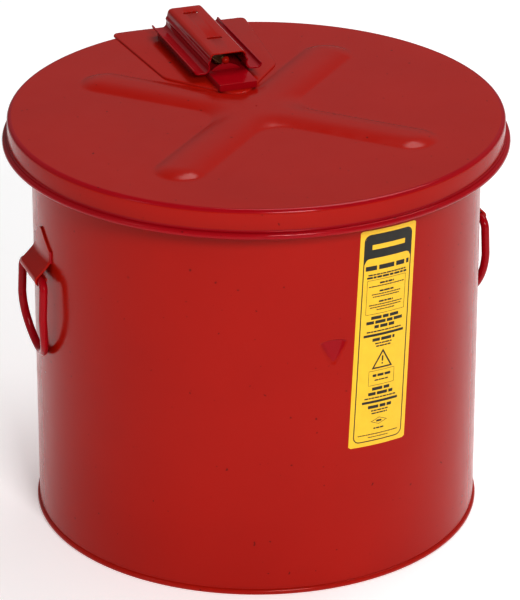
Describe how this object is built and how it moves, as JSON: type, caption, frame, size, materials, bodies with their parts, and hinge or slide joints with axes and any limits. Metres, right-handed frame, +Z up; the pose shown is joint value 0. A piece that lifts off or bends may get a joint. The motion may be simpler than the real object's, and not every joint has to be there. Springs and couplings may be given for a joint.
{
  "type": "parts washer tank",
  "caption": "Round red steel parts washer tank with a rear-hinged lid, a fusible-link bracket on the lid, swinging side handles and a lift-out drain basket.",
  "frame": {"origin": "on the tank's axis, in the plane of the floor it stands on", "axes": "+Z up along the tank's axis; +Y towards the rear, where the lid hinges; -Y is the front with the fill mark; +X to the right seen from the front"},
  "size_m": [0.3934, 0.3997, 0.3535],
  "materials": {
    "red_paint": "glossy powder coat over sheet steel",
    "label_film": null,
    "zinc_steel": "bright zinc plate",
    "link_brass": "satin sheet brass",
    "solder": "dull low-melting solder"
  },
  "bodies": {
    "tank": {"tank_shell": "red_paint", "tank_bottom": "red_paint", "bottom_chime": "red_paint", "rim_wire": "zinc_steel", "tank_label": "label_film", "handle_ear_left": "red_paint", "handle_ear_right": "red_paint", "rear_hinge_bracket": "red_paint", "hinge_pin": "zinc_steel", "pin_retainer": "zinc_steel"},
    "lid": {"lid_panel": "red_paint", "lid_bead_wire": "zinc_steel", "lid_hinge_plate": "red_paint", "link_bracket": "red_paint", "hinge_channel": "red_paint", "link_front_strip": "link_brass", "link_rear_strip": "link_brass", "link_solder": "solder", "link_rivet": "red_paint", "link_spring": "zinc_steel"},
    "left_handle": {"handle_left": "red_paint"},
    "right_handle": {"handle_right": "red_paint"},
    "basket": {"basket_pan": "zinc_steel", "basket_rim_wire": "zinc_steel", "basket_ears": "zinc_steel", "basket_ear_rivets": "zinc_steel", "basket_feet": "zinc_steel"},
    "basket_bail": {"basket_bail": "zinc_steel"}
  },
  "joints": [
    {"name": "lid_hinge", "type": "hinge", "parent": "tank", "child": "lid", "pos_m": [0, 0.199, 0.3215], "axis": [-1, 0, 0], "range_deg": [0, 100]},
    {"name": "handle_left_swing", "type": "hinge", "parent": "tank", "child": "left_handle", "pos_m": [-0.182, 0, 0.2215], "axis": [0, 1, 0], "range_deg": [0, 160]},
    {"name": "handle_right_swing", "type": "hinge", "parent": "tank", "child": "right_handle", "pos_m": [0.182, 0, 0.2215], "axis": [0, -1, 0], "range_deg": [0, 160]},
    {"name": "basket_lift", "type": "slide", "parent": "tank", "child": "basket", "axis": [0, 0, 1], "range_m": [0, 0.15]},
    {"name": "basket_bail_swing", "type": "hinge", "parent": "basket", "child": "basket_bail", "pos_m": [0, 0, 0.1532], "axis": [1, 0, 0], "range_deg": [0, 180]}
  ]
}
